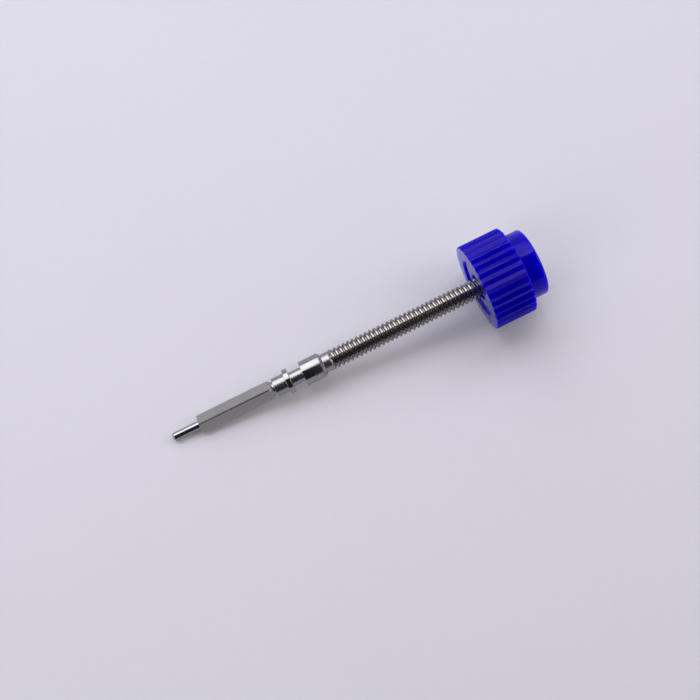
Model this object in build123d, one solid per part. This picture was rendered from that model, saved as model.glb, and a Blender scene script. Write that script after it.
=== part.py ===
"""A watch winding stem with the plastic crown that it is handled by.

The stem is one steel bar, turned, milled square and threaded. The crown is one moulding on its thread.
X runs along the stem, from the pilot to the crown. The origin is on the axis, midway along the slot that
the setting lever holds the stem by. Z is up when the stem lies on its pilot and on the crown's rim.
"""

import os
from math import ceil, cos, pi, radians, sin, tan

from build123d import *

# Every length is in millimetres and every angle in degrees.

# Pilot, the thin journal that runs in the movement's plate
PILOT_DIAMETER = 0.40
PILOT_LENGTH = 1.34
PILOT_CHAMFER = 0.06

# Square, which turns the sliding pinion, with corners left by the turned bar
SQUARE_ACROSS_FLATS = 0.66
SQUARE_ACROSS_CORNERS = 0.87
SQUARE_LENGTH = 3.58
SQUARE_TURN = 59.0

# Relief between the square and the seat, where the milling cutter runs out
RELIEF_DIAMETER = 0.62
RELIEF_CONE_LENGTH = 0.15
RELIEF_LAND_LENGTH = 0.08

# Seat, on which the winding pinion turns
SEAT_DIAMETER = 0.88
SEAT_LENGTH = 0.60

# Collar and slot, between which the setting lever holds the stem
COLLAR_DIAMETER = 1.18
COLLAR_LENGTH = 0.23
SLOT_DIAMETER = 0.70
SLOT_WIDTH = 0.62

# Hub, the thick journal, with a bevel down to the neck
HUB_DIAMETER = 1.18
HUB_LENGTH = 0.92
HUB_BEVEL_LENGTH = 0.13
NECK_DIAMETER = 0.90
NECK_LENGTH = 0.37

# Thread on the tail: a 60 degree groove, whose crests the die has raised a little above the neck
THREAD_DIAMETER = 0.94
THREAD_RISE_LENGTH = 0.03
THREAD_PITCH = 0.225
THREAD_FREE_LENGTH = 7.47
THREAD_HELD_LENGTH = 2.20
THREAD_FLANK_ANGLE = 30.0
THREAD_DEPTH = 0.092
THREAD_ROOT_WIDTH = 0.034
THREAD_TURN = -20.0
TAIL_CHAMFER = 0.10

# Crown: a grip with V flutes all round, and a smooth boss behind it
GRIP_DIAMETER = 4.18
GRIP_LENGTH = 2.00
GRIP_EDGE_CHAMFER = 0.03
FLUTE_COUNT = 32
FLUTE_DEPTH = 0.095
FLUTE_TURN = 2.65
BOSS_DIAMETER = 3.23
BOSS_LENGTH = 0.87
BOSS_EDGE_RADIUS = 0.12

# Front face of the crown: a ring recess, the entry round the stem and the blind bore
RECESS_DIAMETER = 2.76
RECESS_DEPTH = 0.09
ENTRY_DIAMETER = 1.28
ENTRY_DEPTH = 0.35
BORE_CLEARANCE = 0.02
BORE_END_GAP = 0.12

# How far a cutting shape runs past the face that it cuts
OVERRUN = 0.05

# Places along X
slot_start = -SLOT_WIDTH / 2
slot_end = SLOT_WIDTH / 2
collar_start = slot_start - COLLAR_LENGTH
seat_start = collar_start - SEAT_LENGTH
cone_end = seat_start - RELIEF_LAND_LENGTH
square_end = cone_end - RELIEF_CONE_LENGTH
square_start = square_end - SQUARE_LENGTH
pilot_tip = square_start - PILOT_LENGTH
hub_end = slot_end + HUB_LENGTH
neck_start = hub_end + HUB_BEVEL_LENGTH
thread_start = neck_start + NECK_LENGTH
crown_face = thread_start + THREAD_FREE_LENGTH
tail_end = crown_face + THREAD_HELD_LENGTH
grip_end = crown_face + GRIP_LENGTH
boss_end = grip_end + BOSS_LENGTH


def rod(start, end, diameter):
    """A round rod on the X axis from one place to another."""
    upright = Cylinder(diameter / 2, end - start, align=(Align.CENTER, Align.CENTER, Align.MIN))
    return Pos(start, 0, 0) * Rot(0, 90, 0) * upright


def turned(outline):
    """The solid that a lathe leaves under an outline of (place, radius) points."""
    first, last = outline[0][0], outline[-1][0]
    with BuildPart() as made:
        with BuildSketch(Plane.XY):
            with BuildLine():
                Polyline((first, 0), *outline, (last, 0), close=True)
            make_face()
        revolve(axis=Axis.X)
    return made.part


def turned_bar():
    """The stem as it leaves the lathe, before the square and the thread."""
    pilot, corner = PILOT_DIAMETER / 2, SQUARE_ACROSS_CORNERS / 2
    relief, seat = RELIEF_DIAMETER / 2, SEAT_DIAMETER / 2
    collar, slot, hub = COLLAR_DIAMETER / 2, SLOT_DIAMETER / 2, HUB_DIAMETER / 2
    neck, tail = NECK_DIAMETER / 2, THREAD_DIAMETER / 2
    return turned([
        (pilot_tip, pilot - PILOT_CHAMFER), (pilot_tip + PILOT_CHAMFER, pilot), (square_start, pilot),
        (square_start, corner), (square_end, corner), (cone_end, relief), (seat_start, relief),
        (seat_start, seat), (collar_start, seat), (collar_start, collar), (slot_start, collar),
        (slot_start, slot), (slot_end, slot), (slot_end, hub), (hub_end, hub), (neck_start, neck),
        (thread_start - THREAD_RISE_LENGTH, neck), (thread_start, tail),
        (tail_end - TAIL_CHAMFER, tail), (tail_end, tail - TAIL_CHAMFER),
    ])


def square_waste():
    """What the cutter takes off round the square: a block with the square left standing in it."""
    length = cone_end - square_start
    block = Box(length, SQUARE_ACROSS_CORNERS * 2, SQUARE_ACROSS_CORNERS * 2)
    kept = Box(length + 2 * OVERRUN, SQUARE_ACROSS_FLATS, SQUARE_ACROSS_FLATS)
    return Pos((square_start + cone_end) / 2, 0, 0) * Rot(SQUARE_TURN, 0, 0) * (block - kept)


def thread_waste():
    """The groove of the thread, swept along a helix that is made of single turns."""
    turns = ceil((tail_end + THREAD_PITCH - thread_start) / THREAD_PITCH)
    from_z = Helix(THREAD_PITCH, THREAD_PITCH, THREAD_DIAMETER / 2, direction=(1, 0, 0)).edge()
    turn = Rot(THREAD_TURN - 90, 0, 0) * from_z
    path = Wire([Pos(thread_start + number * THREAD_PITCH, 0, 0) * turn for number in range(turns)])
    start = path @ 0
    outward = Vector(0, start.Y, start.Z)
    root = THREAD_ROOT_WIDTH / 2
    top = root + (THREAD_DEPTH + OVERRUN) * tan(radians(THREAD_FLANK_ANGLE))
    with BuildSketch(Plane(origin=start, x_dir=outward, z_dir=path % 0)) as section:
        with BuildLine():
            Polyline((OVERRUN, top), (-THREAD_DEPTH, root), (-THREAD_DEPTH, -root), (OVERRUN, -top), close=True)
        make_face()
    return sweep(section.sketch, path=path, is_frenet=True)


def stem():
    return turned_bar() - square_waste() - thread_waste()


def grip():
    """The fluted part of the crown, with the ends of its ridges bevelled."""
    ridge = GRIP_DIAMETER / 2
    corners = []
    for number in range(2 * FLUTE_COUNT):
        angle = radians(FLUTE_TURN) + number * pi / FLUTE_COUNT
        radius = ridge - FLUTE_DEPTH * (number % 2)
        corners.append((radius * cos(angle), radius * sin(angle)))
    with BuildSketch(Plane.YZ.offset(crown_face)) as outline:
        with BuildLine():
            Polyline(*corners, close=True)
        make_face()
    fluted = extrude(outline.sketch, amount=GRIP_LENGTH)
    rounded = turned([
        (crown_face, ridge - GRIP_EDGE_CHAMFER), (crown_face + GRIP_EDGE_CHAMFER, ridge),
        (grip_end - GRIP_EDGE_CHAMFER, ridge), (grip_end, ridge - GRIP_EDGE_CHAMFER),
    ])
    return fluted & rounded


def handling_crown():
    boss = rod(grip_end - BOSS_EDGE_RADIUS, boss_end, BOSS_DIAMETER)
    boss = fillet(boss.edges().group_by(Axis.X)[-1], BOSS_EDGE_RADIUS)
    recess = rod(crown_face - OVERRUN, crown_face + RECESS_DEPTH, RECESS_DIAMETER)
    entry = rod(crown_face, crown_face + ENTRY_DEPTH, ENTRY_DIAMETER)
    bore = rod(crown_face, tail_end + BORE_END_GAP, THREAD_DIAMETER + 2 * BORE_CLEARANCE)
    return grip() + boss - recess - entry - bore


os.makedirs("parts", exist_ok=True)
for name, make in {"stem": stem, "handling_crown": handling_crown}.items():
    piece = make()
    export_step(piece, f"parts/{name}.step")
    box = piece.bounding_box()
    print(f"{name}: {len(piece.solids())} solid, {piece.volume:.3f} mm3, X {box.min.X:.3f} to {box.max.X:.3f}")
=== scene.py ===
# %% [markdown]
# # A watch stem with its handling crown
#
# This lesson dresses two small pieces of a watch: a winding stem, which is one turned steel bar with a
# milled square and a long thread, and the fluted plastic crown that is screwed on its end. Both shapes
# follow a rule, so node trees build them from a few drawn points and a few sizes. The CAD model stays
# the frame: the sizes of both pieces are its sizes, and nothing of it is moved.

from math import acos, atan2, ceil, cos, degrees, pi, radians, sin, tan

import bpy
from mathutils import Matrix, Vector


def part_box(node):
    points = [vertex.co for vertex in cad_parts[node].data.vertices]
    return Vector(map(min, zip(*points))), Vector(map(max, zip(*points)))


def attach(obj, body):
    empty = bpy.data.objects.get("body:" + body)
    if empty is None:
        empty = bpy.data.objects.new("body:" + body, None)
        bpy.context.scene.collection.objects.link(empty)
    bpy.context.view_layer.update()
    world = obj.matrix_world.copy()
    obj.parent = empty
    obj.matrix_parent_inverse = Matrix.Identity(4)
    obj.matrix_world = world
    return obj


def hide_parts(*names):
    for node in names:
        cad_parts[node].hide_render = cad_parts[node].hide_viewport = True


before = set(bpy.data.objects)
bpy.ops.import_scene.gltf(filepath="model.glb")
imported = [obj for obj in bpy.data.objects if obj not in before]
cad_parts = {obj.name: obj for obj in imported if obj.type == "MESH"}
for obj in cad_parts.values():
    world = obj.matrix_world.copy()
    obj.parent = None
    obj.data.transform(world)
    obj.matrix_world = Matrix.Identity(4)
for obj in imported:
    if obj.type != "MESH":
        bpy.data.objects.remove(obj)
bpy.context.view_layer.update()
MM = 0.001


def in_mm(corners):
    """Corners in metres as rounded millimetres, to print."""
    return [[round(c / MM, 3) for c in corner] for corner in corners]


# %% [markdown]
# ## Sizes
#
# The lengths are in millimetres and the angles in degrees. X runs along the stem from the pilot to the
# crown, and X = 0 is midway along the slot for the setting lever. The places follow from the lengths, so
# a change of one length moves all that comes after it. The frame's own boxes show whether they agree.

# %% Sizes of the stem
PILOT_DIAMETER, PILOT_LENGTH, PILOT_CHAMFER = 0.40, 1.34, 0.06
SQUARE_ACROSS_FLATS, SQUARE_ACROSS_CORNERS, SQUARE_LENGTH = 0.66, 0.87, 3.58
SQUARE_TURN = 59.0
RELIEF_DIAMETER, RELIEF_CONE_LENGTH, RELIEF_LAND_LENGTH = 0.62, 0.15, 0.08
SEAT_DIAMETER, SEAT_LENGTH = 0.88, 0.60
COLLAR_DIAMETER, COLLAR_LENGTH = 1.18, 0.23
SLOT_DIAMETER, SLOT_WIDTH = 0.70, 0.62
HUB_DIAMETER, HUB_LENGTH, HUB_BEVEL_LENGTH = 1.18, 0.92, 0.13
NECK_DIAMETER, NECK_LENGTH = 0.90, 0.37
THREAD_DIAMETER, THREAD_RISE_LENGTH = 0.94, 0.03
THREAD_PITCH, THREAD_DEPTH, THREAD_ROOT_WIDTH = 0.225, 0.092, 0.034
THREAD_FREE_LENGTH, THREAD_HELD_LENGTH, TAIL_CHAMFER = 7.47, 2.20, 0.10
THREAD_FLANK_ANGLE, THREAD_TURN = 30.0, -20.0

slot_start, slot_end = -SLOT_WIDTH / 2, SLOT_WIDTH / 2
collar_start = slot_start - COLLAR_LENGTH
seat_start = collar_start - SEAT_LENGTH
cone_end = seat_start - RELIEF_LAND_LENGTH
square_end = cone_end - RELIEF_CONE_LENGTH
square_start = square_end - SQUARE_LENGTH
pilot_tip = square_start - PILOT_LENGTH
hub_end = slot_end + HUB_LENGTH
neck_start = hub_end + HUB_BEVEL_LENGTH
thread_start = neck_start + NECK_LENGTH
crown_face = thread_start + THREAD_FREE_LENGTH
tail_end = crown_face + THREAD_HELD_LENGTH
stem_in_frame = in_mm(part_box("stem"))
print(f"stem from {pilot_tip:.2f} to {tail_end:.2f} mm, and in the frame:", stem_in_frame)

# %% Sizes of the crown
GRIP_DIAMETER, GRIP_LENGTH, GRIP_EDGE_CHAMFER = 4.18, 2.00, 0.03
FLUTE_COUNT, FLUTE_DEPTH, FLUTE_TURN = 32, 0.095, 2.65
BOSS_DIAMETER, BOSS_LENGTH, BOSS_EDGE_RADIUS = 3.23, 0.87, 0.12
RECESS_DIAMETER, RECESS_DEPTH = 2.76, 0.09
ENTRY_DIAMETER, ENTRY_DEPTH = 1.28, 0.35
BORE_CLEARANCE, BORE_END_GAP = 0.02, 0.12

grip_end = crown_face + GRIP_LENGTH
boss_end = grip_end + BOSS_LENGTH
bore_end = tail_end + BORE_END_GAP
crown_in_frame = in_mm(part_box("handling_crown"))
print(f"crown from {crown_face:.2f} to {boss_end:.2f} mm, and in the frame:", crown_in_frame)

# %% [markdown]
# ## The table
#
# The stem lies on a pale table. It touches it with the pilot at one end and with the crown's rim at the
# other, so its axis rises towards the crown. The model keeps its axis level, so here the table is the
# one that slopes: a large disc that is turned until it touches both ends.

# %% How the table slopes
crown_touch = crown_face + GRIP_EDGE_CHAMFER
pilot_touch = pilot_tip + PILOT_CHAMFER
table_pitch = atan2((GRIP_DIAMETER - PILOT_DIAMETER) / 2, crown_touch - pilot_touch)
table_up = Vector((sin(table_pitch), 0, cos(table_pitch)))
print(f"the stem leaves the table at {degrees(table_pitch):.2f} degrees")

# %% Table top
TABLE_RADIUS, TABLE_SIDES = 140.0, 128


def disc_under_stem():
    """A disc that touches the rim of the crown and slopes down to the pilot."""
    bpy.ops.mesh.primitive_circle_add(vertices=TABLE_SIDES, radius=TABLE_RADIUS * MM, fill_type="NGON")
    disc = bpy.context.object
    disc.name = "table_top"
    below_rim = Vector((crown_touch, 0, -GRIP_DIAMETER / 2))
    slope = table_up.to_track_quat("Z", "Y").to_matrix().to_4x4()
    disc.data.transform(Matrix.Translation(below_rim * MM) @ slope)
    return disc


table_top = disc_under_stem()
print("table faces", [round(c, 3) for c in table_top.data.polygons[0].normal])

# %% [markdown]
# ## Directions over the table
#
# The camera and the lamps are placed as a surveyor would place them: by the height over the table, as an
# angle, and by the bearing from the stem. Bearing 0 points along the stem to the crown, and the camera
# is on the side of the negative bearings.

# %% From angles to directions
along = (Vector((1, 0, 0)) - table_up * table_up.x).normalized()
across = table_up.cross(along)


def over_table(elevation, bearing):
    """A direction away from the stem, by its height over the table and its bearing from the stem."""
    e, b = radians(elevation), radians(bearing)
    return (along * cos(b) + across * sin(b)) * cos(e) + table_up * sin(e)


def standing(place, right, above, back):
    """The matrix of an object at a place in mm, with its own X, Y and Z along three directions."""
    return Matrix.Translation(place * MM) @ Matrix((right, above, back)).transposed().to_4x4()


print("along the table to the crown:", [round(c, 3) for c in over_table(0, 0)])

# %% [markdown]
# ## The camera
#
# The picture was taken from close by and from high up. The camera's height over the table and its
# bearing give the tilt of the stem in the picture: it rises to the right by 26 degrees. The camera is
# held level, so its right-hand side is parallel to the table.

# %% Camera
CAMERA_ELEVATION, CAMERA_BEARING, CAMERA_DISTANCE = 72.4, -115.33, 45.9
CAMERA_AIM = Vector((2.718, 0.03, 0.0))
CAMERA_LENS, SENSOR_WIDTH = 51.4, 36.0
NEAREST, FARTHEST = 1.0, 3000.0

to_camera = over_table(CAMERA_ELEVATION, CAMERA_BEARING)
camera_right = table_up.cross(to_camera).normalized()
camera_above = to_camera.cross(camera_right)
camera = bpy.data.objects.new("camera", bpy.data.cameras.new("camera"))
camera.data.lens = CAMERA_LENS
camera.data.sensor_width = SENSOR_WIDTH
camera.data.clip_start = NEAREST * MM
camera.data.clip_end = FARTHEST * MM
camera_place = CAMERA_AIM + to_camera * CAMERA_DISTANCE
camera.matrix_world = standing(camera_place, camera_right, camera_above, to_camera)
bpy.context.scene.collection.objects.link(camera)
bpy.context.scene.camera = camera
print(f"the stem rises by {degrees(atan2(camera_above.x, camera_right.x)):.2f} degrees to the right")

# %% [markdown]
# ## The light
#
# A polished bar shows its surroundings as stripes, so the surroundings can be read from it. The white
# stripe is a wide lamp that hangs beyond the stem, high up, with a narrow white board under it and
# another over it. The black stripe is a dark card over the camera. The grey at both edges is the table.
# The heights of the edges of lamp, boards and card are read from where the stripes begin and end, and
# the share of each in the light is read from the shadows. Two narrow, warm lamps beyond the ends of the
# stem soften its shadow.

# %% Panels that face the stem
PANEL_DISTANCE = 150.0


def facing(low, high, side, bearing):
    """The matrix, width and height of a panel between two heights. Side is half its width as an angle."""
    outward = over_table((low + high) / 2, bearing)
    sideways = table_up.cross(over_table(0, bearing)).normalized()
    place = standing(outward * PANEL_DISTANCE, sideways, outward.cross(sideways), outward)
    reach = 2 * PANEL_DISTANCE * MM
    return place, reach * tan(radians(side)), reach * tan(radians(high - low) / 2)


def soft_light(name, brightness, colour, low, high, side, bearing):
    """A rectangle of light that is equally bright at any size."""
    light = bpy.data.lights.new(name, "AREA")
    light.color = colour
    light.shape = "RECTANGLE"
    lamp = bpy.data.objects.new(name, light)
    lamp.matrix_world, light.size, light.size_y = facing(low, high, side, bearing)
    light.energy = brightness * pi * light.size * light.size_y
    lamp.visible_camera = False
    bpy.context.scene.collection.objects.link(lamp)
    print(f"{name}: {light.size:.3f} by {light.size_y:.3f} m, {light.energy:.2f} W")


# %% Lamp and boards
COOL, NEUTRAL, WARM = (0.975, 0.99, 1.05), (1.0, 1.0, 1.0), (1.04, 1.0, 0.93)
LAMP_LOW, LAMP_HIGH, LAMP_SIDE, LAMP_BEARING, LAMP_BRIGHTNESS = 47.0, 75.0, 47.0, 85.0, 2.6
BOARD_LOW, BOARD_HIGH, BOARD_SIDE, BOARD_BEARING, BOARD_BRIGHTNESS = 26.0, 83.0, 17.0, 96.0, 2.4
soft_light("lamp", LAMP_BRIGHTNESS, COOL, LAMP_LOW, LAMP_HIGH, LAMP_SIDE, LAMP_BEARING)
soft_light("lower_board", BOARD_BRIGHTNESS, NEUTRAL, BOARD_LOW, LAMP_LOW, BOARD_SIDE, BOARD_BEARING)
soft_light("upper_board", BOARD_BRIGHTNESS, NEUTRAL, LAMP_HIGH, BOARD_HIGH, BOARD_SIDE, BOARD_BEARING)

# %% Lamps beyond both ends
END_LOW, END_HIGH, END_SIDE, END_BEARING, END_BRIGHTNESS = 16.0, 58.0, 9.0, -14.0, 3.1
soft_light("crown_end_lamp", END_BRIGHTNESS, WARM, END_LOW, END_HIGH, END_SIDE, END_BEARING)
soft_light("pilot_end_lamp", END_BRIGHTNESS, WARM, END_LOW, END_HIGH, END_SIDE, 180 - END_BEARING)

# %% Dark card over the camera
CARD_LOW, CARD_HIGH, CARD_SIDE, CARD_BEARING = 84.0, 173.0, 28.0, 82.0


def card_over_camera():
    """A flat card that the camera itself doesn't see."""
    place, width, height = facing(CARD_LOW, CARD_HIGH, CARD_SIDE, CARD_BEARING)
    corners = [(-1, -1), (-1, 1), (1, 1), (1, -1)]
    mesh = bpy.data.meshes.new("dark_card")
    mesh.from_pydata([place @ Vector((x * width / 2, y * height / 2, 0)) for x, y in corners], [],
                     [tuple(range(len(corners)))])
    card = bpy.data.objects.new("dark_card", mesh)
    card.visible_camera = False
    bpy.context.scene.collection.objects.link(card)
    print(f"dark card: {width:.3f} by {height:.3f} m")
    return card


dark_card = card_over_camera()

# %% [markdown]
# ## Short ways to write nodes
#
# A node tree in a script is long if every node takes five lines. A few helpers keep it short: one makes
# a group with its sockets, one adds a node and wires it in the same line, and one does sums.

# %% Node helpers
KINDS = {"geometry": "NodeSocketGeometry", "object": "NodeSocketObject", "material": "NodeSocketMaterial",
         "whole": "NodeSocketInt", "number": "NodeSocketFloat", "vector": "NodeSocketVector"}


def group(name, kind, inputs, outputs):
    """A new node group, with the sockets of its input node and of its output node."""
    tree = bpy.data.node_groups.new(name, kind)
    for in_out, sockets in (("INPUT", inputs), ("OUTPUT", outputs)):
        for label, word in sockets.items():
            tree.interface.new_socket(label, in_out=in_out, socket_type=KINDS[word])
    return tree, tree.nodes.new("NodeGroupInput").outputs, tree.nodes.new("NodeGroupOutput").inputs


def put(tree, kind, inputs=None, **settings):
    """Adds a node, sets it, and wires its inputs to sockets or fills them with values."""
    node = tree.nodes.new(kind)
    for label, value in settings.items():
        setattr(node, label, value)
    for label, value in (inputs or {}).items():
        if isinstance(value, bpy.types.NodeSocket):
            tree.links.new(value, node.inputs[label])
        else:
            node.inputs[label].default_value = value
    return node


def sum_of(tree, operation, *values):
    """One step of a sum, such as ADD or MINIMUM, on sockets or numbers."""
    return put(tree, "ShaderNodeMath", dict(enumerate(values)), operation=operation).outputs[0]


print("helpers ready:", group.__name__, put.__name__, sum_of.__name__)

# %% [markdown]
# ## Drawn lines
#
# Each shape starts as a line of points: half of a lengthwise section, or one flute of a crosswise one.
# No real edge is sharp. A corner that is rounded by a hundredth of a millimetre catches a thin line of
# light, which is what makes metal look made. The guard points just beside each arc keep the faces next
# to it flat, because smooth shading bends light over the whole width of a face.

# %% Rounded lines
ARC_STEPS = 4
SIDE_SHARE = 0.45
GUARD_REACH = 1.1


def arc_at(before, corner, after, radius, steps):
    """The points that round one corner. The arc takes no more of a side than its share."""
    back, ahead = before - corner, after - corner
    half = back.angle(ahead) / 2
    reach = min(radius / tan(half), back.length * SIDE_SHARE, ahead.length * SIDE_SHARE)
    radius = reach * tan(half)
    back.normalize()
    ahead.normalize()
    centre = corner + (back + ahead).normalized() * radius / sin(half)
    start = (corner + back * reach - centre).normalized()
    end = (corner + ahead * reach - centre).normalized()
    arc = [centre + start.slerp(end, step / steps) * radius for step in range(steps + 1)]
    return [corner + back * reach * GUARD_REACH, *arc, corner + ahead * reach * GUARD_REACH]


def rounded(corners, radius, steps=ARC_STEPS):
    """A line through corners, each (x, y) or (x, y, own radius), with the inner ones rounded."""
    points = [Vector(corner[:2]) for corner in corners]
    line = [points[0]]
    for i in range(1, len(corners) - 1):
        own = corners[i][2] if len(corners[i]) > 2 else radius
        line += arc_at(points[i - 1], points[i], points[i + 1], own, steps)
    return [*line, points[-1]]


print("an L of 3 corners becomes", len(rounded([(0, 0), (1, 0), (1, 1)], 0.1)), "points")


# %% Lines that a node tree can read
def drawn(name, points, scale_x=MM, **marks):
    """A line of points as an object. A mark says at which points something is so."""
    mesh = bpy.data.meshes.new(name)
    mesh.from_pydata([(p.x * scale_x, p.y * MM, 0) for p in points],
                     [(i, i + 1) for i in range(len(points) - 1)], [])
    for mark, is_so in marks.items():
        attribute = mesh.attributes.new(mark, "FLOAT", "POINT")
        attribute.data.foreach_set("value", [float(is_so(p)) for p in points])
    line = bpy.data.objects.new(name, mesh)
    bpy.context.scene.collection.objects.link(line)
    print(f"{name}: {len(points)} points")
    return line


# %% [markdown]
# ## A grid round an axis
#
# Both the lathe's work and the thread are grids that are laid round the X axis, with one row for each
# point of a drawn line and one column for each point of a crosswise outline. A tree finds the row and
# the column of a point from its index, and reads the drawn lines there. Half a step is added before each
# division, so that a quotient is never rounded down by mistake.

# %% Reading a drawn line
HALF_STEP = 0.5


def shape_of(tree, an_object):
    """The geometry of an object that a group is given."""
    return put(tree, "GeometryNodeObjectInfo", {0: an_object}).outputs["Geometry"]


def points_in(tree, geometry):
    """How many points a geometry has."""
    return put(tree, "GeometryNodeAttributeDomainSize", {0: geometry}, component="MESH").outputs[0]


def named(tree, mark):
    """A mark that a geometry carries."""
    return put(tree, "GeometryNodeInputNamedAttribute", {"Name": mark}, data_type="FLOAT").outputs[0]


def sampled(tree, geometry, index, kind, value):
    """The value that a geometry's point with this index has."""
    return put(tree, "GeometryNodeSampleIndex", {"Geometry": geometry, "Value": value, "Index": index},
               data_type=kind, domain="POINT").outputs["Value"]


def place_at(tree, line, index):
    """The X and the Y of a drawn line at this index."""
    position = put(tree, "GeometryNodeInputPosition").outputs[0]
    place = sampled(tree, line, index, "FLOAT_VECTOR", position)
    return put(tree, "ShaderNodeSeparateXYZ", {0: place}).outputs[:2]


def split(tree, index, count):
    """How many whole counts an index holds, and what is left over."""
    whole = sum_of(tree, "FLOOR", sum_of(tree, "DIVIDE", sum_of(tree, "ADD", index, HALF_STEP), count))
    return whole, sum_of(tree, "SUBTRACT", index, sum_of(tree, "MULTIPLY", whole, count))


print("readers ready:", named.__name__, place_at.__name__, split.__name__)


# %% Laying a grid round the axis
def grid(tree, rows, columns):
    """A grid and, for each of its points, the row and the column. One more column closes the turn."""
    width = sum_of(tree, "ADD", columns, 1.0)
    mesh = put(tree, "GeometryNodeMeshGrid", {"Vertices X": rows, "Vertices Y": width}).outputs[0]
    index = sum_of(tree, "ADD", put(tree, "GeometryNodeInputIndex").outputs[0], HALF_STEP)
    row = sum_of(tree, "FLOOR", sum_of(tree, "DIVIDE", index, width))
    column = sum_of(tree, "FLOOR", sum_of(tree, "SUBTRACT", index, sum_of(tree, "MULTIPLY", row, width)))
    return mesh, row, column


def outline_at(tree, outline, count, repeats, start, column):
    """The angle of a column, and the radius of the crosswise outline there."""
    repeat, point = split(tree, column, count)
    share, radius = place_at(tree, outline, point)
    turn = sum_of(tree, "DIVIDE", sum_of(tree, "ADD", repeat, share), repeats)
    return sum_of(tree, "MULTIPLY_ADD", turn, 2 * pi, start), radius


def around_axis(tree, mesh, x, radius, angle):
    """The grid's points laid round the X axis."""
    y = sum_of(tree, "MULTIPLY", radius, sum_of(tree, "COSINE", angle))
    z = sum_of(tree, "MULTIPLY", radius, sum_of(tree, "SINE", angle))
    place = put(tree, "ShaderNodeCombineXYZ", {0: x, 1: y, 2: z}).outputs[0]
    return put(tree, "GeometryNodeSetPosition", {"Geometry": mesh, "Position": place}).outputs[0]


def marked(tree, geometry, mark, value, domain):
    """The geometry with a mark stored on its points or faces."""
    inputs = {"Geometry": geometry, "Name": mark, "Value": value}
    return put(tree, "GeometryNodeStoreNamedAttribute", inputs,
               data_type="FLOAT", domain=domain).outputs[0]


print("grid helpers ready:", grid.__name__, outline_at.__name__, around_axis.__name__)

# %% [markdown]
# ## A lathe and a cutter as one node tree
#
# A lathe leaves a round bar, and a milling cutter then takes away what stands too far out. Written as a
# rule, the radius at any place is the smaller of two: the turned radius there, and the cutter's radius
# at that angle. The same tree serves the square of the stem, cut by four flats, and the grip of the
# crown, cut by thirty-two flutes. It marks what the cutter reached, so that a finish can be given to it
# later.

# %% Turn and cut
# Points nearer to each other than this count as one point.
WELD = 0.0002


def turn_and_cut():
    """The tree of a turned shape that a cutter has gone round."""
    tree, given, made = group(
        "Turn and cut", "GeometryNodeTree",
        {"Profile": "geometry", "Outline": "object", "Repeats": "whole", "Start": "number"},
        {"Geometry": "geometry"})
    profile, outline, repeats = given["Profile"], shape_of(tree, given["Outline"]), given["Repeats"]
    count = points_in(tree, outline)
    mesh, row, column = grid(tree, points_in(tree, profile), sum_of(tree, "MULTIPLY", count, repeats))
    angle, cutter = outline_at(tree, outline, count, repeats, given["Start"], column)
    x, turned = place_at(tree, profile, row)
    reached = sampled(tree, profile, row, "FLOAT", named(tree, "cut"))
    coarse = sampled(tree, profile, row, "FLOAT", named(tree, "coarse"))
    too_far = sum_of(tree, "MAXIMUM", sum_of(tree, "SUBTRACT", turned, cutter), 0.0)
    radius = sum_of(tree, "SUBTRACT", turned, sum_of(tree, "MULTIPLY", too_far, reached))
    touched = sum_of(tree, "GREATER_THAN", sum_of(tree, "ADD", turned, WELD * MM), cutter)
    shape = around_axis(tree, mesh, x, radius, angle)
    shape = marked(tree, shape, "milled", sum_of(tree, "MULTIPLY", reached, touched), "POINT")
    shape = marked(tree, shape, "coarse", coarse, "POINT")
    tree.links.new(shape, made["Geometry"])
    return tree


turning = turn_and_cut()
print(turning.name, "has", len(turning.nodes), "nodes")

# %% [markdown]
# ## A thread that closes
#
# A thread is a groove along a helix. If the rows of the grid follow the helix, every crest is a clean
# line of edges. So each row is pushed along X by one pitch in a full turn, and the grid's last column
# meets the first one a turn further on. Rows that would leave the thread are laid on its end rings,
# where welding removes them. The groove fades in over a little more than half a pitch, as it does where
# a die starts, and the last row is drawn together on the axis to close the end.

# %% Cut a thread
TURNS_BEFORE, TURNS_AFTER = 2, 1


def thread_radius(tree, given, x, depth):
    """The radius at a place in the thread, whose groove fades in, and the radius of its end face."""
    begun = sum_of(tree, "DIVIDE", sum_of(tree, "SUBTRACT", x, given["From"]), given["Fade length"])
    faded = sum_of(tree, "MULTIPLY", depth, sum_of(tree, "MINIMUM", begun, 1.0))
    grooved = sum_of(tree, "SUBTRACT", given["Radius"], faded)
    end_radius = sum_of(tree, "SUBTRACT", given["Radius"], given["End chamfer"])
    chamfered = sum_of(tree, "ADD", end_radius, sum_of(tree, "SUBTRACT", given["To"], x))
    return sum_of(tree, "MINIMUM", grooved, chamfered), end_radius


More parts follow.
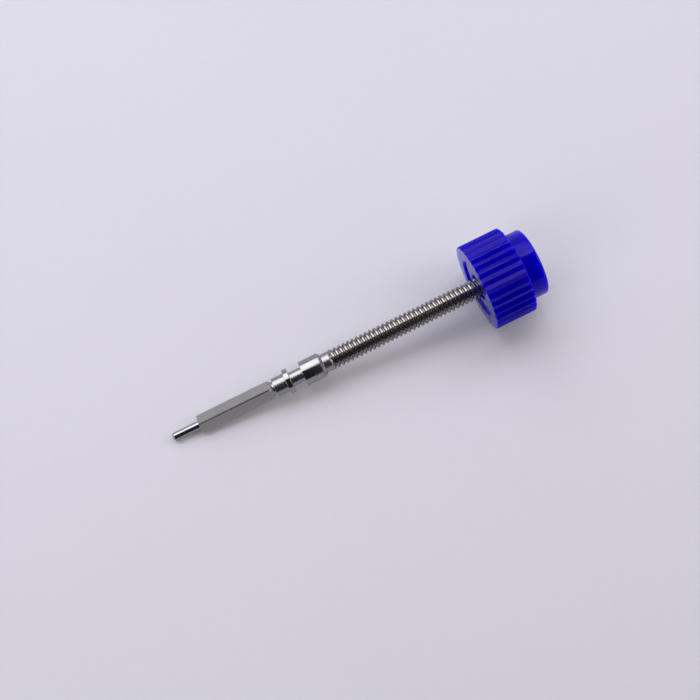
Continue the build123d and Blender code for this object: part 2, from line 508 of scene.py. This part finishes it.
def cut_a_thread():
    """The tree of a thread from one drawn groove, with the bar's columns, so that the two meet."""
    tree, given, made = group(
        "Cut a thread", "GeometryNodeTree",
        {"Outline": "object", "Groove": "object", "Repeats": "whole", "Start": "number",
         "Groove start": "number", "Pitch": "number", "From": "number", "To": "number", "Radius": "number",
         "End chamfer": "number", "Fade length": "number", "Turns": "whole"}, {"Geometry": "geometry"})
    outline, groove = shape_of(tree, given["Outline"]), shape_of(tree, given["Groove"])
    count, points, repeats = points_in(tree, outline), points_in(tree, groove), given["Repeats"]
    last = sum_of(tree, "MULTIPLY", points, given["Turns"])
    columns = sum_of(tree, "MULTIPLY", count, repeats)
    mesh, row, column = grid(tree, sum_of(tree, "ADD", last, 1.0), columns)
    angle = outline_at(tree, outline, count, repeats, given["Start"], column)[0]
    number, point = split(tree, row, points)
    share, depth = place_at(tree, groove, point)
    helix = sum_of(tree, "DIVIDE", sum_of(tree, "SUBTRACT", angle, given["Groove start"]), 2 * pi)
    begun = sum_of(tree, "SUBTRACT", sum_of(tree, "ADD", number, share), float(TURNS_BEFORE))
    free = sum_of(tree, "MULTIPLY_ADD", sum_of(tree, "ADD", begun, helix), given["Pitch"], given["From"])
    x = sum_of(tree, "MINIMUM", sum_of(tree, "MAXIMUM", free, given["From"]), given["To"])
    cut, end_radius = thread_radius(tree, given, x, depth)
    past = sum_of(tree, "GREATER_THAN", free, sum_of(tree, "SUBTRACT", given["To"], WELD * MM))
    inside = sum_of(tree, "MULTIPLY", sum_of(tree, "SUBTRACT", 1.0, past), cut)
    radius = sum_of(tree, "ADD", sum_of(tree, "MULTIPLY", past, end_radius), inside)
    is_open = sum_of(tree, "LESS_THAN", row, sum_of(tree, "SUBTRACT", last, HALF_STEP))
    shape = around_axis(tree, mesh, x, sum_of(tree, "MULTIPLY", radius, is_open), angle)
    tree.links.new(marked(tree, shape, "threaded", 1.0, "FACE"), made["Geometry"])
    return tree


threading = cut_a_thread()
print(threading.name, "has", len(threading.nodes), "nodes")

# %% [markdown]
# ## Shader groups
#
# Two effects serve more than one finish. Turning and milling leave fine lines across the way the tool
# moved, and handling leaves soft patches where the shine differs. Each is a node group: it takes
# coordinates in metres, so its inputs are real sizes, and gives out heights and masks that any finish
# can use.


# %% Noise helpers
def noise(tree, place, scale, detail=2.0, **more):
    """A noise from 0 to 1 over a place in metres. Scale is the number of its waves in a metre."""
    inputs = {"Vector": place, "Scale": scale, "Detail": detail, **more}
    return put(tree, "ShaderNodeTexNoise", inputs).outputs[0]


def noise_along(tree, place, scale, detail):
    """A noise that changes with one number only."""
    inputs = {"W": place, "Scale": scale, "Detail": detail}
    return put(tree, "ShaderNodeTexNoise", inputs, noise_dimensions="1D").outputs[0]


def use(tree, node_group, inputs):
    """Adds a node that holds a shader group, and gives its first output."""
    return put(tree, "ShaderNodeGroup", inputs, node_tree=node_group).outputs[0]


print("noise helpers ready:", noise.__name__, noise_along.__name__)

# %% Tool lines
WANDER_PER_METRE, WANDER = 900.0, 0.02
BROAD_LINE_SCALE, BROAD_SHARE, FINE_SHARE = 0.23, 0.6, 0.4


def tool_lines():
    """Fine parallel lines across the direction of a vector, in two widths, which wander a little."""
    tree, given, made = group("Tool lines", "ShaderNodeTree",
                              {"Place": "vector", "Direction": "vector", "Lines per metre": "number"},
                              {"Height": "number"})
    along_it = put(tree, "ShaderNodeVectorMath", {0: given["Place"], 1: given["Direction"]},
                   operation="DOT_PRODUCT").outputs["Value"]
    wander = noise(tree, given["Place"], WANDER_PER_METRE, detail=1.0)
    wandered = sum_of(tree, "MULTIPLY_ADD", wander, WANDER * MM, along_it)
    lines = sum_of(tree, "MULTIPLY", wandered, given["Lines per metre"])
    fine = sum_of(tree, "MULTIPLY", noise_along(tree, lines, 1.0, detail=2.0), FINE_SHARE)
    broad = noise_along(tree, lines, BROAD_LINE_SCALE, detail=1.0)
    tree.links.new(sum_of(tree, "MULTIPLY_ADD", broad, BROAD_SHARE, fine), made["Height"])
    return tree


LINES = tool_lines()
print(LINES.name, "has", len(LINES.nodes), "nodes")

# %% Handling
PATCH_EDGE_LOW, PATCH_EDGE_HIGH, PATCH_ROUGHNESS = 0.35, 0.65, 0.6


def handling():
    """Soft patches, as handling leaves them, from 0 to 1."""
    tree, given, made = group("Handling", "ShaderNodeTree", {"Place": "vector", "Size": "number"},
                              {"Patches": "number"})
    scale = sum_of(tree, "DIVIDE", 1.0, given["Size"])
    uneven = noise(tree, given["Place"], scale, detail=4.0, Roughness=PATCH_ROUGHNESS)
    patches = put(tree, "ShaderNodeMapRange", {0: uneven, 1: PATCH_EDGE_LOW, 2: PATCH_EDGE_HIGH},
                  interpolation_type="SMOOTHSTEP")
    tree.links.new(patches.outputs[0], made["Patches"])
    return tree


PATCHES = handling()
print(PATCHES.name, "has", len(PATCHES.nodes), "nodes")

# %% [markdown]
# ## What every finish needs
#
# A finish is one Principled shader. Values that are the same all over stand on its own sockets. What
# changes over the surface is wired: a colour that is made lighter or darker, and a bump whose depth is a
# real size.


# %% Finish helpers
def finish(name, colour, roughness, **plain):
    """A material with its shader and the object coordinates."""
    material = bpy.data.materials.new(name)
    material.use_nodes = True
    tree = material.node_tree
    shader = tree.nodes["Principled BSDF"]
    shader.inputs["Base Color"].default_value = (*colour, 1)
    shader.inputs["Roughness"].default_value = roughness
    for label, value in plain.items():
        shader.inputs[label.replace("_", " ")].default_value = value
    return material, tree, shader, put(tree, "ShaderNodeTexCoord").outputs["Object"]


def tinted(tree, shader, colour, shade):
    """Wires a colour to the shader, made lighter or darker by a value near 1."""
    tint = put(tree, "ShaderNodeVectorMath", {0: colour, "Scale": shade}, operation="SCALE").outputs[0]
    tree.links.new(tint, shader.inputs["Base Color"])


def bumped(tree, shader, height, depth):
    """Wires a bump to the shader, where a height of 1 stands for a depth in mm."""
    bump = put(tree, "ShaderNodeBump", {"Height": height, "Strength": 1.0, "Distance": depth * MM})
    tree.links.new(bump.outputs[0], shader.inputs["Normal"])


print("finish helpers ready:", finish.__name__, tinted.__name__, bumped.__name__)

# %% [markdown]
# ## Steel
#
# The steel has three finishes. The turned parts are polished, so they mirror the room and show only a
# breath of the lathe's rings. The pilot, the collar and the hub are the brightest. The square, the seat,
# the slot and the neck show more of the tool's marks, so their points are marked coarse, which makes
# them rougher. The flats of the square are as the cutter left them, satin with lines across, and the
# thread is cut and not polished, a little rougher and warmer. A metal's colour is the share of light
# that it mirrors, so the steel is a middle grey, and the stripes come from the room.

# %% Steel finishes
LEAST_DULL, PATCH_DULL, LINE_DULL, COARSE_ROUGHNESS = 0.75, 0.5, 0.4, 0.19
DARKEST_LINE, LINE_LIFT = 0.88, 0.16
STEM_AXIS = (1, 0, 0)


def steel(name, colour, roughness, lines_per_mm, line_depth, patch_size):
    """Tooled steel, with lines across the stem and patches, both in mm."""
    material, tree, shader, place = finish(name, colour, roughness, Metallic=1.0)
    pattern = {"Place": place, "Direction": STEM_AXIS, "Lines per metre": lines_per_mm / MM}
    lines = use(tree, LINES, pattern)
    patches = use(tree, PATCHES, {"Place": place, "Size": patch_size * MM})
    coarse = put(tree, "ShaderNodeAttribute", attribute_name="coarse").outputs["Fac"]
    dull = sum_of(tree, "MULTIPLY_ADD", patches, roughness * PATCH_DULL, roughness * LEAST_DULL)
    dull = sum_of(tree, "MULTIPLY_ADD", coarse, COARSE_ROUGHNESS, dull)
    dull = sum_of(tree, "MULTIPLY_ADD", lines, roughness * LINE_DULL, dull)
    tree.links.new(dull, shader.inputs["Roughness"])
    tinted(tree, shader, colour, sum_of(tree, "MULTIPLY_ADD", lines, LINE_LIFT, DARKEST_LINE))
    bumped(tree, shader, lines, line_depth)
    return material


polished_steel = steel("polished_steel", colour=(0.335, 0.33, 0.328), roughness=0.06,
                       lines_per_mm=40, line_depth=0.0001, patch_size=1.2)
milled_steel = steel("milled_steel", colour=(0.325, 0.32, 0.312), roughness=0.13,
                     lines_per_mm=30, line_depth=0.0004, patch_size=0.8)
threaded_steel = steel("threaded_steel", colour=(0.288, 0.268, 0.261), roughness=0.09,
                       lines_per_mm=60, line_depth=0.0003, patch_size=0.6)
print("steel finishes:", [m.name for m in (polished_steel, milled_steel, threaded_steel)])

# %% [markdown]
# ## Plastic
#
# The crown is a glossy moulding in a deep ultramarine. Light enters it and comes out again some way off,
# the blue furthest, so its shaded side stays blue. Its gloss is weak and takes on some of the blue.
# Mouldings are never quite even: the skin has a faint orange peel, the colour drifts slightly, and
# fingers leave patches that are less bright.

# %% Blue plastic
PLASTIC = (0.001, 0.0, 0.245)
SCATTER_LENGTH, SCATTER_SHARES = 7.0, (0.3, 0.3, 1.0)
GLOSS, GLOSS_TINT = 0.22, (0.65, 0.4, 1.0)
CLEAN_ROUGHNESS, FINGER_ROUGHNESS, FINGER_SIZE = 0.06, 0.05, 1.1
TONES_PER_METRE, DARKEST_TONE, TONE_LIFT = 600.0, 0.9, 0.2
PEEL_PER_METRE, PEEL_DEPTH = 5000.0, 0.0008


def blue_plastic():
    """The dyed, translucent plastic of the crown."""
    material, tree, shader, place = finish(
        "blue_plastic", PLASTIC, CLEAN_ROUGHNESS, Diffuse_Roughness=1.0,
        Specular_IOR_Level=GLOSS, Specular_Tint=(*GLOSS_TINT, 1),
        Subsurface_Weight=1.0, Subsurface_Scale=SCATTER_LENGTH * MM, Subsurface_Radius=SCATTER_SHARES)
    patches = use(tree, PATCHES, {"Place": place, "Size": FINGER_SIZE * MM})
    dull = sum_of(tree, "MULTIPLY_ADD", patches, FINGER_ROUGHNESS, CLEAN_ROUGHNESS)
    tree.links.new(dull, shader.inputs["Roughness"])
    tones = noise(tree, place, TONES_PER_METRE)
    tinted(tree, shader, PLASTIC, sum_of(tree, "MULTIPLY_ADD", tones, TONE_LIFT, DARKEST_TONE))
    bumped(tree, shader, noise(tree, place, PEEL_PER_METRE), PEEL_DEPTH)
    return material


plastic = blue_plastic()
print(plastic.name, "has the base colour", PLASTIC)

# %% [markdown]
# ## The lines of the stem
#
# The lengthwise line is the turned bar, from the middle of the pilot's end to the start of the thread.
# The crosswise outline is a quarter of the square: a narrow land that the bar's own surface leaves at
# the corner, and a flat. The flat is nearest to the axis at its middle and further away to both sides,
# and its distance at each angle is the cutter's radius.

# %% The square
QUARTER = pi / 2
LAND_STEPS, FLAT_STEPS = 4, 16


def square_cutter():
    """A quarter of the square's outline, as shares of a quarter turn and radii, and its first angle."""
    flat = SQUARE_ACROSS_FLATS / 2
    half_flat = acos(flat / (SQUARE_ACROSS_CORNERS / 2))
    land = QUARTER - 2 * half_flat
    angles = [land * i / LAND_STEPS for i in range(LAND_STEPS)]
    angles += [land + 2 * half_flat * i / FLAT_STEPS for i in range(FLAT_STEPS)]
    points = [Vector((angle / QUARTER, flat / cos(angle - land - half_flat))) for angle in angles]
    return points, radians(SQUARE_TURN) + QUARTER / 2 - land / 2


quarter, quarter_start = square_cutter()
square_outline = drawn("square_outline", quarter, scale_x=1)

# %% The turned bar
EDGE_BREAK = 0.012


def bar_line():
    """Half of the lengthwise section of the bar, as far as the thread."""
    pilot, corner = PILOT_DIAMETER / 2, SQUARE_ACROSS_CORNERS / 2
    relief, seat, collar = RELIEF_DIAMETER / 2, SEAT_DIAMETER / 2, COLLAR_DIAMETER / 2
    slot, hub = SLOT_DIAMETER / 2, HUB_DIAMETER / 2
    neck, tail = NECK_DIAMETER / 2, THREAD_DIAMETER / 2
    return rounded([
        (pilot_tip, 0), (pilot_tip, pilot - PILOT_CHAMFER), (pilot_tip + PILOT_CHAMFER, pilot),
        (square_start, pilot), (square_start, corner), (square_end, corner), (cone_end, relief),
        (seat_start, relief), (seat_start, seat), (collar_start, seat), (collar_start, collar),
        (slot_start, collar), (slot_start, slot), (slot_end, slot), (slot_end, hub), (hub_end, hub),
        (neck_start, neck), (thread_start - THREAD_RISE_LENGTH, neck), (thread_start, tail)], EDGE_BREAK)


def in_the_cut(p):
    """Whether the cutter of the square reaches this place: the square and the relief behind it."""
    return square_start - EDGE_BREAK < p.x < seat_start - EDGE_BREAK


def less_polished(p):
    """Whether this place is neither on the pilot, nor on the collar, nor on the hub."""
    on_collar = collar_start < p.x < slot_start
    on_hub = slot_end < p.x < hub_end - EDGE_BREAK
    return not (p.x < square_start or on_collar or on_hub)


stem_piece = drawn("winding_stem", bar_line(), cut=in_the_cut, coarse=less_polished)

# %% [markdown]
# ## One groove of the thread
#
# The groove has straight flanks, a narrow root and rounded crests. The die has raised the crests a
# little above the neck, so the thread's diameter is larger than the neck's. Only one pitch is drawn, and
# the tree repeats it. An arc of two steps is enough here, because the thread has about forty-three
# turns.

# %% One groove of the thread
CREST_RADIUS, GROOVE_ARC_STEPS = 0.02, 2


def groove_section():
    """One pitch from the middle of one root to the next, as shares of the pitch and depths."""
    root = THREAD_ROOT_WIDTH / 2
    top = root + THREAD_DEPTH * tan(radians(THREAD_FLANK_ANGLE))
    corners = [(0, THREAD_DEPTH), (root, THREAD_DEPTH), (top, 0, CREST_RADIUS), (THREAD_PITCH / 2, 0)]
    half = rounded(corners, EDGE_BREAK, GROOVE_ARC_STEPS)
    other = [Vector((THREAD_PITCH - p.x, p.y)) for p in reversed(half[1:-1])]
    return [Vector((p.x / THREAD_PITCH, p.y)) for p in half + other]


groove_outline = drawn("groove_outline", groove_section(), scale_x=1)
thread_turns = (tail_end - thread_start) / THREAD_PITCH
print(f"the thread has {thread_turns:.1f} turns")

# %% [markdown]
# ## From a tree to a plain mesh
#
# A piece's own tree joins what its steps make, welds the seams, turns the faces outward and makes the
# result real. It ends by giving each marked part its finish. The tree is then run once and its result
# kept as a plain mesh, which any other program can read.

# %% One tree for a piece
FULLY = 0.99


def inputs_of(step):
    """The inputs of a group: each name with the short word for its kind."""
    words = {socket: word for word, socket in KINDS.items()}
    return {item.name: words[item.socket_type] for item in step.interface.items_tree
            if item.item_type == "SOCKET" and item.in_out == "INPUT"}


def closed_piece(name, steps, finishes):
    """One tree that joins the steps into a closed shape, and gives each finish to what its mark says."""
    inputs = {}
    for step in steps:
        inputs.update(inputs_of(step))
    inputs.update({label: "material" for label in finishes})
    tree, given, made = group(name, "GeometryNodeTree", inputs, {"Geometry": "geometry"})
    joined = put(tree, "GeometryNodeJoinGeometry")
    for step in steps:
        node = put(tree, "GeometryNodeGroup", node_tree=step)
        for label in inputs_of(step):
            tree.links.new(given[label], node.inputs[label])
        tree.links.new(node.outputs[0], joined.inputs[0])
    welded = put(tree, "GeometryNodeMergeByDistance", {0: joined.outputs[0], "Distance": WELD * MM})
    outward = put(tree, "GeometryNodeFlipFaces", {0: welded.outputs[0]})
    shape = put(tree, "GeometryNodeRealizeInstances", {0: outward.outputs[0]}).outputs[0]
    for label, mark in finishes.items():
        where = sum_of(tree, "GREATER_THAN", named(tree, mark), FULLY) if mark else True
        shape = put(tree, "GeometryNodeSetMaterial",
                    {"Geometry": shape, "Selection": where, "Material": given[label]}).outputs[0]
    tree.links.new(shape, made["Geometry"])
    return tree


stem_tree = closed_piece("Winding stem", [turning, threading],
                         {"Turned finish": None, "Milled finish": "milled", "Thread finish": "threaded"})
crown_tree = closed_piece("Fluted crown", [turning], {"Finish": None})
print("trees of the pieces:", stem_tree.name, "and", crown_tree.name)


# %% Running a tree
def made_by(tree, piece, values, sharp_angle):
    """Runs a tree on a drawn line and keeps the result as a plain mesh, smooth below the sharp angle."""
    making = piece.modifiers.new("making", "NODES")
    making.node_group = tree
    identifiers = {item.name: item.identifier for item in tree.interface.items_tree
                   if item.item_type == "SOCKET" and item.in_out == "INPUT"}
    for label, value in values.items():
        making[identifiers[label]] = value
    graph = bpy.context.evaluated_depsgraph_get()
    mesh = bpy.data.meshes.new_from_object(piece.evaluated_get(graph))
    piece.modifiers.clear()
    piece.data = mesh
    mesh.shade_smooth()
    mesh.set_sharp_from_angle(angle=radians(sharp_angle))
    print(f"{piece.name}: {len(mesh.vertices)} points, {len(mesh.polygons)} faces")


# %% [markdown]
# ## The stem in one piece
#
# The stem is one bar, so it is one closed mesh, from the chamfered end of the pilot to the chamfered
# end of the thread inside the crown. The bar and the thread share their columns, so their rings meet
# point on point and the welding leaves no seam.

# %% The stem
FADE_PITCHES = 0.6
STEM_SHARP_ANGLE = 30
made_by(stem_tree, stem_piece, {
    "Outline": square_outline, "Repeats": 4, "Start": quarter_start,
    "Groove": groove_outline, "Groove start": radians(THREAD_TURN), "Pitch": THREAD_PITCH * MM,
    "From": thread_start * MM, "To": tail_end * MM, "Radius": THREAD_DIAMETER / 2 * MM,
    "End chamfer": TAIL_CHAMFER * MM, "Fade length": THREAD_PITCH * FADE_PITCHES * MM,
    "Turns": ceil(thread_turns) + TURNS_BEFORE + TURNS_AFTER,
    "Turned finish": polished_steel, "Milled finish": milled_steel, "Thread finish": threaded_steel,
}, STEM_SHARP_ANGLE)

# %% [markdown]
# ## The crown
#
# The same tree turns the crown. Its lengthwise line starts at the bottom of the blind bore, runs out
# through the entry, the ring recess and the face, and back over the grip and the boss. The outline is
# one flute, with its ridge and its root eased over a small share of the flute.

# %% One flute
FLUTE_TIP_SHARE = 0.05


def flute_cutter():
    """One flute from ridge to ridge, as shares of the flute's angle and radii."""
    ridge, tip = GRIP_DIAMETER / 2, FLUTE_TIP_SHARE
    drops = [(0, tip / 2), (tip, tip), (2 * tip, 2 * tip), (1 - 2 * tip, 1 - 2 * tip), (1 - tip, 1 - tip),
             (1, 1 - tip / 2)]
    drops += [(2 - share, drop) for share, drop in reversed(drops[1:-1])]
    return [Vector((share / 2, ridge - FLUTE_DEPTH * drop)) for share, drop in drops]


flute_outline = drawn("flute_outline", flute_cutter(), scale_x=1)

# %% The crown in one piece
MOULD_RADIUS, RECESS_RADIUS = 0.025, 0.04
CROWN_SHARP_ANGLE = 35


def crown_line():
    """Half of the lengthwise section of the crown."""
    bore, entry = THREAD_DIAMETER / 2 + BORE_CLEARANCE, ENTRY_DIAMETER / 2
    recess, ridge, boss = RECESS_DIAMETER / 2, GRIP_DIAMETER / 2, BOSS_DIAMETER / 2
    entry_floor, recess_floor = crown_face + ENTRY_DEPTH, crown_face + RECESS_DEPTH
    return rounded([
        (bore_end, 0), (bore_end, bore), (entry_floor, bore), (entry_floor, entry), (recess_floor, entry),
        (recess_floor, recess, RECESS_RADIUS), (crown_face, recess, RECESS_RADIUS),
        (crown_face, ridge - GRIP_EDGE_CHAMFER), (crown_face + GRIP_EDGE_CHAMFER, ridge),
        (grip_end - GRIP_EDGE_CHAMFER, ridge), (grip_end, ridge - GRIP_EDGE_CHAMFER), (grip_end, boss),
        (boss_end, boss, BOSS_EDGE_RADIUS), (boss_end, 0)], MOULD_RADIUS)


crown_piece = drawn("fluted_crown", crown_line(), cut=lambda p: True, coarse=lambda p: False)
made_by(crown_tree, crown_piece, {
    "Outline": flute_outline, "Repeats": FLUTE_COUNT, "Start": radians(FLUTE_TURN), "Finish": plastic,
}, CROWN_SHARP_ANGLE)

# %% Clear the drawn lines away
for line in (square_outline, groove_outline, flute_outline):
    bpy.data.objects.remove(line)
print("kept:", stem_piece.name, "and", crown_piece.name)

# %% [markdown]
# ## The room
#
# The room is what the steel mirrors where no lamp or card stands. It is pale at the height of the table
# and darker overhead, and it is graded by the height over the table, so it slopes with it.

# %% Room
HORIZON, CEILING = (0.66, 0.646, 0.70), (0.31, 0.303, 0.32)
CEILING_START, CEILING_FULL = 0.3, 0.6


def graded_room():
    """A world whose colour depends on the height of the line of sight, as its sine."""
    world = bpy.data.worlds.new("room")
    world.use_nodes = True
    tree = world.node_tree
    look = put(tree, "ShaderNodeTexCoord").outputs["Generated"]
    height = put(tree, "ShaderNodeVectorMath", {0: look, 1: table_up},
                 operation="DOT_PRODUCT").outputs["Value"]
    risen = put(tree, "ShaderNodeMapRange", {0: height, 1: CEILING_START, 2: CEILING_FULL},
                interpolation_type="SMOOTHSTEP").outputs[0]
    colours = {0: risen, "A": (*HORIZON, 1), "B": (*CEILING, 1)}
    mixed = put(tree, "ShaderNodeMix", colours, data_type="RGBA")
    tree.links.new(mixed.outputs["Result"], tree.nodes["Background"].inputs["Color"])
    return world


bpy.context.scene.world = graded_room()
print("room:", HORIZON, "at the table,", CEILING, "overhead")

# %% [markdown]
# ## Table and card
#
# The table is matt and pale, with a touch of violet. Two noises keep it from looking like a flat colour:
# one with waves of a centimetre, and one of less than half a millimetre. Their sum changes the colour by
# a few hundredths only. The card is nearly black.

# %% Table and card finishes
TABLE, TABLE_ROUGHNESS = (0.56, 0.546, 0.608), 0.6
CLOUDS_PER_METRE, GRAIN_PER_METRE = 90.0, 2500.0
UNEVENNESS, DARKEST_TABLE = 0.03, 0.97
CARD, CARD_ROUGHNESS = (0.02, 0.02, 0.025), 0.9


def table_finish():
    """A pale, matt surface that is slightly uneven in two sizes."""
    material, tree, shader, place = finish("table_finish", TABLE, TABLE_ROUGHNESS)
    clouds = noise(tree, place, CLOUDS_PER_METRE)
    grain = sum_of(tree, "MULTIPLY_ADD", noise(tree, place, GRAIN_PER_METRE), UNEVENNESS, DARKEST_TABLE)
    tinted(tree, shader, TABLE, sum_of(tree, "MULTIPLY_ADD", clouds, UNEVENNESS, grain))
    return material


table_top.data.materials.append(table_finish())
dark_card.data.materials.append(finish("card_finish", CARD, CARD_ROUGHNESS)[0])
bpy.context.scene.view_settings.view_transform = "Standard"
print("finishes:", table_top.data.materials[0].name, "and", dark_card.data.materials[0].name)

# %% [markdown]
# ## Hand the pieces over
#
# Each piece rides on the body of the CAD part that it dresses and takes that part's place. So the crown
# slides off the thread with its body, and the stem stays.

# %% Ride and replace
dressed = [(stem_piece, "stem", "stem_steel"), (crown_piece, "handling_crown", "crown_plastic")]
for piece, body, slot in dressed:
    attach(piece, body)
    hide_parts(body)
    print(f"{piece.name} rides on {body}")
